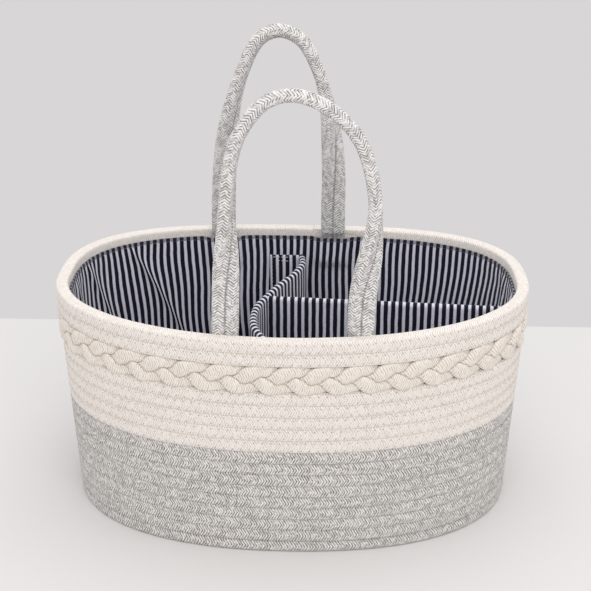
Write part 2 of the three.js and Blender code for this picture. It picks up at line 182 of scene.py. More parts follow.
def smoothCurve(points, count):
    # a centripetal curve through points, resampled at even lengths
    points = np.asarray(points, float)
    padded = np.vstack([2 * points[0] - points[1], points, 2 * points[-1] - points[-2]])
    share = np.linspace(0, 1, 60, endpoint=False)[:, None]  # 60 short steps between two points
    fine = []
    for start in range(len(points) - 1):
        before, here, there, after = padded[start:start + 4]
        gapIn, gap, gapOut = (max(np.linalg.norm(q - p) ** 0.5, 1e-4)
                              for p, q in ((before, here), (here, there), (there, after)))
        straight = there - here
        slopeHere = straight + gap * ((here - before) / gapIn - (there - before) / (gapIn + gap))
        slopeThere = straight + gap * ((after - there) / gapOut - (after - here) / (gap + gapOut))
        fine.append(here + smoothStep(share, 0, 1) * straight
                    + share * (1 - share) ** 2 * slopeHere - share ** 2 * (1 - share) * slopeThere)
    fine = np.vstack(fine + [points[-1:]])
    lengths = alongLengths(fine)
    return readAt(np.linspace(0, lengths[-1], count), lengths, fine)


# Small helpers for materials
class Wire:
    # an output in a node tree that can be reckoned with: wire + 1 adds a Math node
    def __init__(self, node, output=0):
        self.tree = node.id_data
        self.socket = node.outputs[output]

    def math(self, operation, other=0.0):
        return Wire(addNode(self.tree, "Math", {0: self, 1: other}, operation=operation))

    def __add__(self, other):
        return self.math("ADD", other)

    def __sub__(self, other):
        return self.math("SUBTRACT", other)

    def __mul__(self, other):
        return self.math("MULTIPLY", other)

    def __truediv__(self, other):
        return self.math("DIVIDE", other)

    def __abs__(self):
        return self.math("ABSOLUTE")

    def wave(self, length):
        return (self * (fullTurn / length)).math("SINE")


def feed(node, inputs):
    # wires are linked to the node's sockets; numbers and colours are set on them
    for key, value in inputs.items():
        if isinstance(value, Wire):
            node.id_data.links.new(value.socket, node.inputs[key])
        else:
            node.inputs[key].default_value = value


def addNode(tree, kind, inputs=None, **settings):
    node = tree.nodes.new("ShaderNode" + kind)
    for key, value in settings.items():
        setattr(node, key, value)
    feed(node, inputs or {})
    return node


def srgb(red, green, blue):
    # a colour as a screen shows it, 0 to 255, to Blender's linear values
    values = []
    for part in (red, green, blue):
        share = part / 255
        values.append(share / 12.92 if share <= 0.04045 else ((share + 0.055) / 1.055) ** 2.4)
    return (*values, 1)


def startMaterial(name):
    material = bpy.data.materials.new(name)
    material.use_nodes = True
    tree = material.node_tree
    tree.nodes.clear()
    shader = addNode(tree, "BsdfPrincipled")
    addNode(tree, "OutputMaterial", {"Surface": Wire(shader)})
    return material, shader


def uvParts(shader):
    reader = addNode(shader.id_data, "UVMap", uv_map="UVMap")
    split = addNode(shader.id_data, "SeparateXYZ", {0: Wire(reader)})
    return Wire(split, 0), Wire(split, 1)


def objectSpot(tree):
    return Wire(addNode(tree, "TexCoord"), "Object")


def spotOf(x, y, z=0.0):
    return Wire(addNode(x.tree, "CombineXYZ", {0: x, 1: y, 2: z}))


def noiseAt(spot, scale, detail=2.0, roughness=0.5):
    inputs = {"Vector": spot, "Scale": scale, "Detail": detail, "Roughness": roughness}
    return Wire(addNode(spot.tree, "TexNoise", inputs), "Fac")


def randomOf(x, y, z=0.0):
    # a random number for each set of whole numbers
    node = addNode(x.tree, "TexWhiteNoise", {"Vector": spotOf(x, y, z)}, noise_dimensions="3D")
    return Wire(node, "Value")


def rangeOf(value, low, high, newLow=0.0, newHigh=1.0, smooth=False):
    inputs = {"Value": value, "From Min": low, "From Max": high, "To Min": newLow, "To Max": newHigh}
    kind = "SMOOTHSTEP" if smooth else "LINEAR"
    return Wire(addNode(value.tree, "MapRange", inputs, interpolation_type=kind), "Result")


def blendColour(share, first, second):
    return Wire(addNode(share.tree, "Mix", {0: share, 6: first, 7: second}, data_type="RGBA"), 2)


def colourRamp(share, stops):
    node = addNode(share.tree, "ValToRGB", {0: share})
    ramp = node.color_ramp
    while len(ramp.elements) < len(stops):
        ramp.elements.new(0.5)
    for element, (place, colour) in zip(ramp.elements, stops):
        element.position = place
        element.color = colour
    return Wire(node)


def finishSurface(shader, look, colour, height):
    # a look's colour, relief and gloss; 0.0 and 0.5 are the shader's own values
    relief = {"Height": height, "Strength": look["relief"], "Distance": look["reliefDepth"]}
    feed(shader, {"Base Color": colour, "Normal": Wire(addNode(height.tree, "Bump", relief)),
                  "Roughness": look["roughness"], "Sheen Weight": look.get("sheen", 0.0),
                  "Specular IOR Level": look.get("specular", 0.5)})


# Rope yarn: slanted yarns that meet in a V along the middle of each rope, with flecks of lighter and darker
# yarn, painted shade in the furrows between the yarns, and small pits, darkened with painted shade, where two
# rows are sewn together.
# Lengths in these dictionaries are metres on the rope's surface.
anyRope = {"slant": 0.58, "wander": 0.35, "wanderScale": 260, "fleck": 0.55, "drift": 0.12,
           "driftScale": 38, "fibreAlong": 2.3, "fibreAcross": 520, "fibreDetail": (3, 0.65),
           "fibreRelief": 0.6, "furrow": 1.0, "furrowRange": (0.15, 0.9), "faintest": 0.3,
           "faintRange": (0.1, 0.75), "pits": 0.6, "pitPitch": 0.0026, "pitTop": 1.0,
           "pitNoise": 1.6, "pitNoiseScale": 170, "pitRange": (0.2, 1.5), "underStitch": 0.3,
           "reliefDepth": 0.0004, "roughness": 0.93, "sheen": 0.12, "specular": 0.2}
# each rope's furrow, seam pit, crease and needle-hole colours are painted shade
ropeLooks = {
    "greyRope": {**anyRope, "yarnPitch": 0.0021, "column": 0.01, "speck": 0.0016, "relief": 0.4,
                 "shades": [(0.0, srgb(172, 167, 164)), (0.3, srgb(204, 199, 195)),
                            (0.5, srgb(226, 221, 217)), (1.0, srgb(250, 246, 242))],
                 "paintedFurrowShade": srgb(34, 32, 33), "furrowRange": (0.15, 0.85), "faintest": 0.35,
                 "pitAt": 0.0053, "pitHalf": 0.0007, "paintedPitShade": srgb(96, 94, 94)},
    "handleRope": {**anyRope, "yarnPitch": 0.0023, "column": 0.0079, "speck": 0.0018, "relief": 0.35,
                   "shades": [(0.0, srgb(162, 159, 158)), (0.3, srgb(202, 199, 197)),
                              (0.5, srgb(230, 227, 225)), (1.0, srgb(250, 248, 246))],
                   "paintedFurrowShade": srgb(66, 64, 67), "furrow": 0.9, "furrowRange": (0.15, 0.85),
                   "faintest": 0.25, "slant": 0.8, "pits": 0.55, "pitAt": 0.0128,
                   "pitHalf": 0.0012, "paintedPitShade": srgb(88, 86, 86)},
    "creamRope": {**anyRope, "yarnPitch": 0.002, "column": 0.0102, "speck": 0.0017, "relief": 0.3,
                  "shades": [(0.0, srgb(235, 227, 220)), (0.35, srgb(240, 232, 226)),
                             (0.7, srgb(244, 238, 232)), (1.0, srgb(249, 244, 239))],
                  "paintedFurrowShade": srgb(204, 194, 185), "fleck": 0.5,
                  "pitAt": 0.0054, "pitHalf": 0.0006, "pitTop": 0.181, "paintedPitShade": srgb(168, 156, 146),
                  # the needle holes' colour is painted shade
                  "needleHole": {"pitch": 0.0033, "fromMiddle": 0.0029, "radius": 0.0005, "shade": 0.85,
                                 "soft": (0.3, 1.6), "depth": 1.4, "colour": srgb(148, 137, 126)}},
    "plaitRope": {**anyRope, "yarnPitch": 0.0018, "column": 0.0096, "speck": 0.0016, "relief": 0.25,
                  "shades": [(0.0, srgb(233, 223, 213)), (0.35, srgb(238, 229, 220)),
                             (0.7, srgb(242, 234, 226)), (1.0, srgb(247, 240, 233))],
                  "paintedFurrowShade": srgb(196, 184, 173), "fleck": 0.45, "pits": 0.0,
                  "paintedCreaseShade": srgb(138, 123, 109)},
}


def needleHoles(hole, along, around, away):
    # small pricks of the sewing needle beside both seams of a row, a half step apart on its two sides; their
    # dark colour is painted shade
    step = hole["pitch"] * 2
    side = around.math("GREATER_THAN", 0.0)
    fromHole = ((along / step + side * 0.5).math("FRACT") - 0.5) * step
    across = away - hole["fromMiddle"]
    distance = (fromHole * fromHole + across * across).math("SQRT")
    inner, outer = hole["soft"]
    return rangeOf(distance, hole["radius"] * inner, hole["radius"] * outer, 1.0, 0.0, True)


def seamPits(look, along, away):
    # a row of pits down in the seam, deeper between the stitches than under them; the mask dips the bump and
    # darkens the colour with painted shade
    uneven = noiseAt(spotOf(along, 0.0), look["pitNoiseScale"])
    dot = rangeOf(along.wave(look["pitPitch"]) + uneven * look["pitNoise"],
                  *look["pitRange"], look["underStitch"], 1.0, True)
    level = Wire(addNode(along.tree, "SeparateXYZ", {0: objectSpot(along.tree)}), 2)
    below = rangeOf(level, look["pitTop"], look["pitTop"] + mm, 1.0, 0.0)
    inSeam = rangeOf(abs(away - look["pitAt"]), 0.0, look["pitHalf"], 1.0, 0.0, True)
    return dot * inSeam * below * look["pits"]


def ropeMaterial(name):
    look = ropeLooks[name]
    material, shader = startMaterial(name)
    along, around = uvParts(shader)
    away = abs(around)
    here = spotOf(along, around)
    # yarns slant to both sides from the middle of each column, and wander a little
    fromColumn = abs((around / look["column"] + 0.5).math("FRACT") - 0.5)
    slanted = along + fromColumn * (look["slant"] * look["column"])
    slanted = slanted + noiseAt(here, look["wanderScale"]) * (look["yarnPitch"] * look["wander"])
    yarn = slanted / look["yarnPitch"]
    lane = (around / (look["column"] / 2)).math("FLOOR")  # each yarn shows on one slope
    # each yarn shows in short lengths of different shades; 5.3, 3.7 and 9.1 only set draws apart
    whole = yarn.math("FLOOR")
    speck = around / look["speck"]
    shadeOfYarn = randomOf(whole, (speck + randomOf(whole, lane, 5.3)).math("FLOOR"), 3.7)
    fibreSpot = spotOf(yarn * look["fibreAlong"], around * look["fibreAcross"])
    fibre = noiseAt(fibreSpot, 1.0, *look["fibreDetail"])
    drift = noiseAt(here, look["driftScale"]) - 0.5
    shade = shadeOfYarn * look["fleck"] + fibre * (1 - look["fleck"]) + drift * look["drift"]
    colour = colourRamp(shade, look["shades"])
    # the painted shade in the furrows between the yarns is broken into dark specks
    ridge = abs(yarn.wave(2))
    furrow = rangeOf(ridge, *look["furrowRange"], look["furrow"], 0.0, True)
    gap = yarn.math("ROUND")
    dotted = randomOf(gap, (speck + randomOf(gap, lane)).math("FLOOR"), 9.1)
    furrow = furrow * rangeOf(dotted, *look["faintRange"], look["faintest"], 1.0)
    colour = blendColour(furrow, colour, look["paintedFurrowShade"])
    height = ridge + fibre * look["fibreRelief"]
    # painted shade in the seam's pits, and a dip in the bump
    if look["pits"] > 0:
        pit = seamPits(look, along, away)
        colour = blendColour(pit, colour, look["paintedPitShade"])
        height = height - pit
    # painted shade in the plait's creases, read from the mesh's crease attribute
    if "paintedCreaseShade" in look:
        crease = Wire(addNode(here.tree, "Attribute", attribute_name="crease"), "Fac")
        colour = blendColour(crease, colour, look["paintedCreaseShade"])
    # needle holes: painted shade in their colour, and a dip in the bump
    if "needleHole" in look:
        prick = look["needleHole"]
        hole = needleHoles(prick, along, around, away)
        colour = blendColour(hole * prick["shade"], colour, prick["colour"])
        height = height - hole * prick["depth"]
    finishSurface(shader, look, colour, height)
    return material


# Striped cotton: navy and white yarns woven in stripes along the cloth's height
stripe = {"pitch": 0.0059, "darkShare": 0.58, "edgeBlur": 0.025, "wobble": 0.0007, "wobbleScale": 90,
          "navy": srgb(9, 7, 26), "navyWorn": srgb(24, 20, 48), "white": srgb(240, 239, 248),
          "whiteDull": srgb(208, 207, 221), "thread": 0.00042, "grainScale": 900, "relief": 0.35,
          "reliefDepth": 0.0002, "roughness": 0.82, "sheen": 0.08, "specular": 0.25,
          "grainStretch": 3.0, "wornRange": (0.35, 0.75), "cleanRange": (0.3, 0.7),
          # hemShade and the hem colour set painted shade on the turned edge
          "hemShade": 0.62, "hemBelow": 0.0004, "hemAbove": 0.0006, "paintedHemShade": srgb(40, 37, 48)}
threadLook = {"along": 9000.0, "around": 4200.0, "relief": 0.4, "reliefDepth": 0.0001, "roughness": 0.7}
pileLook = {"detail": (4, 0.7), "fibreShare": 0.75, "cloudShare": 0.25, "cloudScale": 60,
            "paleRange": (0.35, 0.65), "relief": 0.9, "reliefDepth": 0.0004, "roughness": 0.95}


def stripedMaterial(name, hemHeight=None):
    # the cloth above hemHeight is the turned edge, which curls back; painted shade darkens it
    material, shader = startMaterial(name)
    across, rise = uvParts(shader)
    wobble = noiseAt(spotOf(across, rise), stripe["wobbleScale"]) - 0.5
    place = ((across + wobble * stripe["wobble"]) / stripe["pitch"]).math("FRACT")
    edge, blur = stripe["darkShare"] / 2, stripe["edgeBlur"]
    isWhite = rangeOf(abs(place - 0.5), edge - blur, edge + blur, 0.0, 1.0, True)
    weave = across.wave(stripe["thread"]) * rise.wave(stripe["thread"])
    grain = noiseAt(spotOf(across * stripe["grainStretch"], rise), stripe["grainScale"])
    dark = blendColour(rangeOf(grain, *stripe["wornRange"]), stripe["navy"], stripe["navyWorn"])
    pale = blendColour(rangeOf(grain, *stripe["cleanRange"]), stripe["whiteDull"], stripe["white"])
    colour = blendColour(isWhite, dark, pale)
    # painted shade on the turned edge
    if hemHeight is not None:
        hem = rangeOf(rise, hemHeight - stripe["hemBelow"], hemHeight + stripe["hemAbove"],
                      0.0, stripe["hemShade"], True)
        colour = blendColour(hem, colour, stripe["paintedHemShade"])
    finishSurface(shader, stripe, colour, weave * 0.5 + grain * 0.5)
    return material


def threadMaterial(name, pale, deep):
    # twisted sewing thread
    material, shader = startMaterial(name)
    along, around = uvParts(shader)
    ply = (along * threadLook["along"] + around * threadLook["around"]).math("SINE")
    finishSurface(shader, threadLook, blendColour(rangeOf(ply, -1.0, 1.0), deep, pale), ply)
    return material


def pileMaterial(name, pale, deep, fibreScale):
    # brushed fibres with no direction, for the two halves of the tape
    material, shader = startMaterial(name)
    spot = objectSpot(shader.id_data)
    fibre = noiseAt(spot, fibreScale, *pileLook["detail"])
    cloud = noiseAt(spot, pileLook["cloudScale"])
    share = fibre * pileLook["fibreShare"] + cloud * pileLook["cloudShare"]
    paleness = rangeOf(share, *pileLook["paleRange"])
    finishSurface(shader, pileLook, blendColour(paleness, deep, pale), fibre)
    return material


greyRopeYarn = ropeMaterial("greyRope")
creamRopeYarn = ropeMaterial("creamRope")
plaitRopeYarn = ropeMaterial("plaitRope")
handleRopeYarn = ropeMaterial("handleRope")
stripedCotton = stripedMaterial("stripedCotton")
# the lining wall's cotton, with painted shade on its turned edge
hemShadedCotton = stripedMaterial("hemShadedCotton", hemHeight=0.1753)
creamThread = threadMaterial("creamThread", srgb(240, 234, 224), srgb(214, 204, 190))
greyThread = threadMaterial("greyThread", srgb(224, 221, 219), srgb(176, 173, 172))
whiteThread = threadMaterial("whiteThread", srgb(250, 250, 252), srgb(222, 222, 232))
hemThread = threadMaterial("hemThread", srgb(112, 110, 124), srgb(70, 68, 84))
hookPile = pileMaterial("hookPile", srgb(40, 38, 58), srgb(20, 18, 34), 1500)
loopPile = pileMaterial("loopPile", srgb(52, 48, 78), srgb(26, 23, 46), 1100)
print("stage: materials made")


# The wall: an oval that is a little wider at the rim than at the base
wall = {"rimHalfLength": 185.0, "endLean": 11.6, "halfDepth": 110.5, "height": 184.0,
        "rimFrontExponent": 2.07, "rimBackExponent": 2.88, "baseExponent": 2.25,
        "stations": 24, "climbStart": 4, "climbStations": 2, "ropeHalfWidth": 5.0,
        "normalStep": 0.008, "fineSteps": 4321, "searchSteps": 2001,
        "clothLine": (177.0, -6.0)}  # height and offset of the lining's top edge


def ovalPoint(angle, height, inset=0.0):
    angle, height, inset = np.broadcast_arrays(angle, height, inset)
    share = height / wall["height"]
    cosine, sine = np.cos(angle), np.sin(angle)
    rimExponent = np.where(sine > 0, wall["rimBackExponent"], wall["rimFrontExponent"])
    exponent = wall["baseExponent"] + (rimExponent - wall["baseExponent"]) * share
    reach = (np.abs(cosine) ** exponent + np.abs(sine) ** exponent) ** (-1 / exponent)
    halfLength = wall["rimHalfLength"] - wall["endLean"] * (1 - share) - inset
    return np.stack([halfLength * cosine * reach, (wall["halfDepth"] - inset) * sine * reach, height], -1)


def wallNormal(angle, height):
    step = wall["normalStep"]
    tangent = ovalPoint(angle + step, height) - ovalPoint(angle - step, height)
    return unitRows(np.cross(tangent, up))


def wallPoint(angle, height, offset):
    return ovalPoint(angle, height) + wallNormal(angle, height) * np.asarray(offset)[..., None]


def stationAngle(station):
    return fullTurn * station / wall["stations"]


fineAngles = np.linspace(0, fullTurn, wall["fineSteps"])


def lengthTable(height, offset):
    # length round the wall, for each of the fine angles
    return alongLengths(wallPoint(fineAngles, height, offset))


rimLengths = lengthTable(*wall["clothLine"])


def clothLength(angle):
    # where a vertical thread of the lining stands, measured along the lining's top edge
    turns = np.floor(angle / fullTurn)
    return turns * rimLengths[-1] + np.interp(angle - turns * fullTurn, fineAngles, rimLengths)


def angleAtX(x, offset, onBack, height=wall["height"], steps=wall["searchSteps"]):
    # the angle on the front or back wall, at this height, whose place along the length is x
    angles = np.linspace(0, math.pi, steps) + (0 if onBack else math.pi)
    places = wallPoint(angles, height, offset)[:, 0]
    order = np.argsort(places)
    return np.interp(x, places[order], angles[order])


# Wound rope rows: level but for a climb at the back, with the two ends tapered under and over it
windings = {
    "grey_rope_rows": {"bottom": 10.0, "pitch": 10.0, "rows": 8,
                       "node": "grey_rope_wall", "slot": "grey_rope", "yarn": greyRopeYarn},
    "cream_rope_rows": {"bottom": 90.0, "pitch": 10.2, "rows": 5,
                        "node": "cream_rope_wall", "slot": "cream_rope", "yarn": creamRopeYarn},
    "cream_rim_rows": {"bottom": 163.6, "pitch": 10.2, "rows": 2,
                       "node": "cream_rope_rim", "slot": "cream_rope", "yarn": creamRopeYarn},
}
# a row's section fills its share of the height a little more than fully, as rows are pressed together
rowSection = {"sides": 28, "exponent": 5.5, "stepsPerStation": 12, "tip": 0.3, "press": 1.13,
              "wobble": 0.14, "slowWave": 1.7, "turnShift": 2.1, "fastShare": 0.6, "fastWave": 4.3}


def climbed(step):
    turn = np.floor(step / wall["stations"])
    within = (step - turn * wall["stations"]) / wall["climbStations"]
    return turn + smoothStep(within, 0, 1)


def windRope(name):
    spec = windings[name]
    pitch, rows, bottom = spec["pitch"], spec["rows"], spec["bottom"]
    first = rowSection["tip"]
    last = rows * wall["stations"] + wall["climbStations"] - first
    step = np.linspace(first, last, int((last - first) * rowSection["stepsPerStation"]))
    low = bottom + pitch * np.maximum(0, climbed(step) - 1)
    high = bottom + pitch * np.minimum(rows, climbed(step))
    half, middle = (high - low) / 2, (high + low) / 2
    section = superellipse(wall["ropeHalfWidth"], rowSection["press"], rowSection["exponent"],
                           rowSection["sides"])
    angle = stationAngle(wall["climbStart"] + step)
    turn = np.floor(step / wall["stations"])
    slow = np.sin(step * rowSection["slowWave"] + rowSection["turnShift"] * turn)
    fast = np.sin(step * rowSection["fastWave"] + 1.0)
    sway = rowSection["wobble"] * (slow + rowSection["fastShare"] * fast)
    height = middle[:, None] + half[:, None] * section[:, 1]
    rings = wallPoint(angle[:, None], height, section[:, 0] + sway[:, None])
    centre = wallPoint(angle, middle, wall["ropeHalfWidth"])
    uv = ropeUv(alongLengths(centre), aroundLengths(section * (1, pitch / 2)))
    rope = loft(name, rings, uv, spec["yarn"])
    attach(rope, "caddy")
    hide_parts(spec["node"])


for rowsName in windings:
    windRope(rowsName)
print("stage: rope rows wound")


# The base: one flat coil, seen from below, whose outermost turn is the lowest grey row
baseCoil = {"turns": 12, "pitch": 10.0, "height": 9.9, "stepsPerStation": 6, "sides": 18,
            "exponent": 4.2, "middleGap": 0.1, "leastWidth": 0.4}


def coilBase():
    last = baseCoil["turns"] * wall["stations"] + wall["climbStations"] - rowSection["tip"]
    step = np.linspace(rowSection["tip"], last, int(last * baseCoil["stepsPerStation"]))
    # the coil closes on the middle line
    centreLine = wall["halfDepth"] + wall["ropeHalfWidth"] - baseCoil["middleGap"]
    outer = np.minimum(baseCoil["pitch"] * np.maximum(0, climbed(step) - 1),
                       centreLine - baseCoil["leastWidth"])
    inner = np.minimum(baseCoil["pitch"] * climbed(step), centreLine)
    middle, half = (outer + inner) / 2, (inner - outer) / 2
    section = superellipse(1.0, baseCoil["height"] / 2, baseCoil["exponent"], baseCoil["sides"])
    angle = stationAngle(wall["climbStart"] + step)
    inset = middle[:, None] - half[:, None] * section[:, 0] - wall["ropeHalfWidth"]
    rings = ovalPoint(angle[:, None], 0.0, inset)
    rings[..., 2] = baseCoil["height"] / 2 + section[:, 1]
    centre = ovalPoint(angle, 0.0, middle)
    uv = ropeUv(alongLengths(centre), aroundLengths(section * (baseCoil["pitch"] / 2, 1)))
    rope = loft("base_rope_coil", rings, uv, greyRopeYarn)
    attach(rope, "caddy")
    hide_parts("base_coil")


coilBase()
print("stage: base coiled")


# The plaited trim: three soft ropes that cross over and under each other, pressed between the rows
trim = {"bottom": 141.0, "height": 22.6, "periods": 13, "halfWidth": 4.8, "halfThickness": 2.7,
        "weave": 2.1, "dive": 0.5, "taper": 0.15, "exponent": 2.6, "swing": 6.6, "offset": 2.5,
        "edgeFill": 0.4, "creaseDepth": 0.4, "creaseReach": 0.45, "creaseSink": 0.6,
        "creaseShade": 0.7, "creaseFrom": -0.2, "coverDepth": 1.2, "stepsPerPeriod": 84, "sides": 44,
        "edgeRound": 1.6, "edgeOver": 0.15}


def pressedHeight(rise):
    # heights past the trim's edge are squeezed up against the next row
    free = trim["height"] / 2 + trim["edgeOver"] - trim["edgeRound"]
    past = np.maximum(np.abs(rise) - free, 0)
    squeezed = trim["edgeRound"] * (1 - np.exp(-past / trim["edgeRound"]))
    return np.sign(rise) * (np.minimum(np.abs(rise), free) + squeezed)


def strandPlace(swing):
    # how high the strand's middle runs, how far it stands off the wall and how wide it is there
    over = np.sin(2 * swing)
    rise = trim["swing"] * np.sin(swing)
    depth = trim["offset"] + trim["weave"] * np.where(over > 0, over, trim["dive"] * over)
    slope = trim["swing"] * np.cos(swing) * fullTurn / trim["period"]
    width = trim["halfWidth"] * (1 + trim["taper"] * over) * np.sqrt(1 + slope ** 2)
    return rise, depth, width, 1 + trim["edgeFill"] * np.sin(swing)  # it fills out towards the near edge


def sideFill(fill, upward):
    return np.where(upward, np.maximum(fill, 1), np.maximum(2 - fill, 1))


def creaseOf(swing, rise, level):
    # 1 down in a crease between this strand and another one, 0 away from it; it sinks the strand there and
    # sets the painted shade in the crease
    crease = np.zeros_like(rise)
    for turn in (1, 2):
        otherRise, otherDepth, otherWidth, fill = strandPlace(swing + turn * fullTurn / 3)
        otherWidth = otherWidth * sideFill(fill, rise > otherRise)
        away = np.abs(rise - otherRise) / otherWidth
        bulge = np.maximum(1 - np.minimum(away, 1) ** trim["exponent"], 0) ** (1 / trim["exponent"])
        above = level - (otherDepth + trim["halfThickness"] * bulge)
        meets = np.where(away < 1, np.exp(-(above / trim["creaseDepth"]) ** 2), 0)
        beside = np.exp(-((away - 1) * otherWidth / trim["creaseReach"]) ** 2)
        covered = np.where((away >= 1) & (level < otherDepth + trim["coverDepth"]), beside, 0)
        crease = np.maximum(crease, np.maximum(meets, covered))
    return crease


def plaitTrim():
    middleHeight = trim["bottom"] + trim["height"] / 2
    lengths = lengthTable(middleHeight, trim["offset"])
    perimeter = lengths[-1]
    trim["period"] = perimeter / trim["periods"]
    count = trim["periods"] * trim["stepsPerPeriod"]
    start = np.interp(stationAngle(wall["climbStart"]), fineAngles, lengths)
    along = np.arange(count) / count * perimeter
    angle = np.interp((start + along) % perimeter, lengths, fineAngles)[:, None]
    section = superellipse(1.0, 1.0, trim["exponent"], trim["sides"])
    outward, upward = section.T
    uv = ropeUv([*along, perimeter], aroundLengths(section * (trim["halfThickness"], trim["halfWidth"])))
    for number, letter in enumerate("abc"):
        swing = fullTurn * (along / trim["period"] + number / 3)[:, None]
        middle, depth, width, fill = strandPlace(swing)
        rise = middle + width * upward * sideFill(fill, upward > 0)
        level = depth + trim["halfThickness"] * outward
        crease = creaseOf(swing, rise, level) * (outward > trim["creaseFrom"])
        rings = wallPoint(angle, middleHeight + pressedHeight(rise), level - trim["creaseSink"] * crease)
        strand = loft("plait_rope_" + letter, rings, uv, plaitRopeYarn, closedAlong=True)
        # the crease mask, scaled, is stored for the painted shade in the creases
        mark = strand.data.attributes.new("crease", "FLOAT", "POINT")
        mark.data.foreach_set("value", (crease * trim["creaseShade"]).astype(np.float32).ravel())
        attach(strand, "caddy")
        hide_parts("plait_strand_" + letter)


plaitTrim()
print("stage: trim plaited")


# Zigzag sewing: thread that steps across each seam between two rows, and across the handles' seams
sewing = {"advance": 3.6, "reach": 2.3, "radius": 0.2, "offset": 4.85, "sink": 0.9, "lift": 0.15,
          "bends": (0.1, 0.9), "firstTurn": 0.1, "trimRise": 0.4, "handleAdvance": 3.2,
          "handleReach": 2.1, "handleDepth": 0.83, "handleSink": 0.5, "handleMargin": 2,
          "handleSlack": 0.05}


def stepAtLength(length):
    # the winding step whose place, measured along the rim from where the rows start, is this length
    place = clothLength(stationAngle(wall["climbStart"])) + length
    turn = np.floor(place / rimLengths[-1])
    angle = np.interp(place - turn * rimLengths[-1], rimLengths, fineAngles) + fullTurn * turn
    return angle * wall["stations"] / fullTurn - wall["climbStart"]


def sewSeam(name, heightOf, firstTurn, lastTurn, thread):
    step = stepAtLength(np.arange(firstTurn * rimLengths[-1], lastTurn * rimLengths[-1], sewing["advance"]))
    angle = stationAngle(wall["climbStart"] + step)
    height = heightOf(step) + zigzag(len(step)) * sewing["reach"]
    points = wallPoint(angle, height, sewing["offset"])
    outward = wallNormal(angle, height)
    path = np.empty((3 * len(step) - 2, 3))
    path[0::3] = points - outward * sewing["sink"]  # each stitch ends down in its needle hole
    for part, share in zip((1, 2), sewing["bends"]):
        path[part::3] = points[:-1] * (1 - share) + points[1:] * share + outward[:-1] * sewing["lift"]
    rings, uv = threadTube(path, np.repeat(outward, 3, axis=0)[:len(path)], sewing["radius"])
    stitches = loft(name, rings, uv, thread)
    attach(stitches, "caddy")


def sewWall():
    for name, spec in windings.items():
        thread = greyThread if spec["slot"] == "grey_rope" else creamThread
        seams = spec["rows"] - (name == "cream_rim_rows")  # the topmost edge of the rim isn't sewn
        sewSeam(name.replace("_rows", "_sewing"),
                lambda step: spec["bottom"] + spec["pitch"] * climbed(step),
                sewing["firstTurn"], seams, thread)
    sewSeam("base_sewing", lambda step: windings["grey_rope_rows"]["bottom"], 0, 1, greyThread)
    trimTop = windings["cream_rim_rows"]["bottom"] + sewing["trimRise"]
    sewSeam("trim_top_sewing", lambda step: trimTop, 0, 1, creamThread)


sewWall()
print("stage: wall sewn")


# Handles: two ropes side by side, flat on the wall at both ends and turned edge-on in the arch
handles = {
    "front": {"onBack": False, "legMiddle": 4.5, "legSpacing": 103.0, "height": 178.0,
              "twist": (0.09, 0.58), "tilt": 0.32,
              "shares": [(-1, 0), (-0.98, 0.18), (-0.96, 0.36), (-0.94, 0.6), (-0.76, 0.83),
                         (-0.38, 0.97), (0.01, 1), (0.48, 0.95), (0.92, 0.82), (1.16, 0.58),
                         (1.13, 0.36), (1.02, 0.14), (1, 0)]},
    "back": {"onBack": True, "legMiddle": -15.5, "legSpacing": 95.0, "height": 172.0,
             "twist": (0.09, 0.86), "tilt": 0.45,
             "shares": [(-1, 0), (-0.99, 0.13), (-0.97, 0.26), (-0.87, 0.54), (-0.63, 0.79),
                        (-0.29, 0.965), (0.05, 1), (0.41, 0.955), (0.72, 0.795), (0.91, 0.58),
                        (1, 0.29), (1, 0.13), (1, 0)]},
}
handleRope = {"radius": 5.1, "spread": 4.94, "half": 9.65, "pivotHeight": 189.5,
              "tailBottom": 158.0, "tailThickness": 4.6, "wallFace": -5.4, "pressDrop": 3,
              "liningTop": 177.0, "sides": 18, "steps": 150, "tailSteps": 22, "endShare": 0.72,
              "outerExponent": 2.3, "seamExponent": 6.0, "nearSeam": 1.03,
              "rimSpread": 0.03, "spreadFrom": (178, 190), "spreadTo": (205, 250),
              "bendFrom": 0.179, "bendTo": 0.199}


def legPlace(spec, side):
    return spec["legMiddle"] + side * spec["legSpacing"] / 2


def legSeat(spec, side):
    # where a strap lies on the wall: the middle of its back and the way inward
    sign = 1 if spec["onBack"] else -1
    x = legPlace(spec, side) + sign * handleRope["half"] * np.array([1, -1])
    angles = angleAtX(x, handleRope["wallFace"], spec["onBack"])
    start, end = wallPoint(angles, wall["height"], handleRope["wallFace"])
    return (start + end) / 2, np.cross(up, unitRows(end - start))


def strapTail(seat, endWidth, tangent):
    # from the pivot down behind the lining, where the ropes are pressed flat
    place, inward = seat
    radius, top = handleRope["radius"], handleRope["pivotHeight"]
    height = np.linspace(top, handleRope["tailBottom"], handleRope["tailSteps"])[1:]
    pressTop = top - handleRope["pressDrop"]  # the ropes are still round down to here
    pressed = smoothStep(pressTop - height, 0, pressTop - handleRope["liningTop"])
    halfThick = radius + (handleRope["tailThickness"] / 2 - radius) * pressed
    points = place + inward * halfThick[:, None]
    points[:, 2] = height
    width = np.tile(endWidth, (len(height), 1))
    return points, width, np.cross(tangent, width), halfThick / radius


